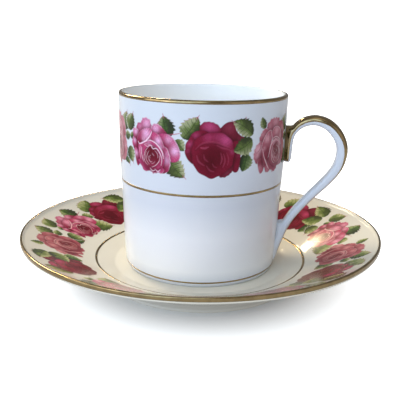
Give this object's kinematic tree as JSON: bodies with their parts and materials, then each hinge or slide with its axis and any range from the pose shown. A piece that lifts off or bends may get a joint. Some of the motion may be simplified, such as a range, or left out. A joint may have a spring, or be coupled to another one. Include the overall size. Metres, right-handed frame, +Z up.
{
  "type": "teacup and saucer",
  "caption": "Straight-sided china cup with a looped strap handle, gold lines and a band of rose sprays, standing loose on its matching saucer.",
  "frame": {"origin": "centre of the saucer's foot ring on the table, on the cup's axis", "axes": "+Z up along the cup's axis, +X out through the handle, +Y completing a right-handed frame"},
  "size_m": [0.1448, 0.1448, 0.0763],
  "materials": {
    "cup_china": "clear gloss glaze over translucent white bone china",
    "saucer_china": "clear gloss glaze over translucent white bone china",
    "burnished_gold": "thin fired gilding, burnished bright",
    "rose_enamel": "fired transfer enamels: pink, dusty pink and crimson roses with green leaves"
  },
  "bodies": {
    "saucer": {"saucer_body": "saucer_china", "saucer_rim_gilding": "burnished_gold", "saucer_verge_gold_line": "burnished_gold", "saucer_rose_spray_1": "rose_enamel", "saucer_rose_spray_2": "rose_enamel", "saucer_rose_spray_3": "rose_enamel", "saucer_rose_spray_4": "rose_enamel", "saucer_rose_spray_5": "rose_enamel", "saucer_rose_spray_6": "rose_enamel", "saucer_rose_spray_7": "rose_enamel", "saucer_rose_spray_8": "rose_enamel", "saucer_rose_spray_9": "rose_enamel", "saucer_rose_spray_10": "rose_enamel", "saucer_rose_spray_11": "rose_enamel", "saucer_rose_spray_12": "rose_enamel", "saucer_rose_spray_13": "rose_enamel", "saucer_rose_spray_14": "rose_enamel"},
    "cup": {"cup_body": "cup_china", "cup_handle": "cup_china", "handle_gilding": "burnished_gold", "cup_rim_gilding": "burnished_gold", "cup_waist_gold_line": "burnished_gold", "cup_foot_gold_line": "burnished_gold", "cup_rose_spray_1": "rose_enamel", "cup_rose_spray_2": "rose_enamel", "cup_rose_spray_3": "rose_enamel", "cup_rose_spray_4": "rose_enamel", "cup_rose_spray_5": "rose_enamel", "cup_rose_spray_6": "rose_enamel", "cup_rose_spray_7": "rose_enamel", "cup_rose_spray_8": "rose_enamel"}
  },
  "joints": [
    {"name": "cup_lift", "type": "slide", "parent": "saucer", "child": "cup", "axis": [0, 0, 1], "range_m": [0, 0.09]}
  ]
}
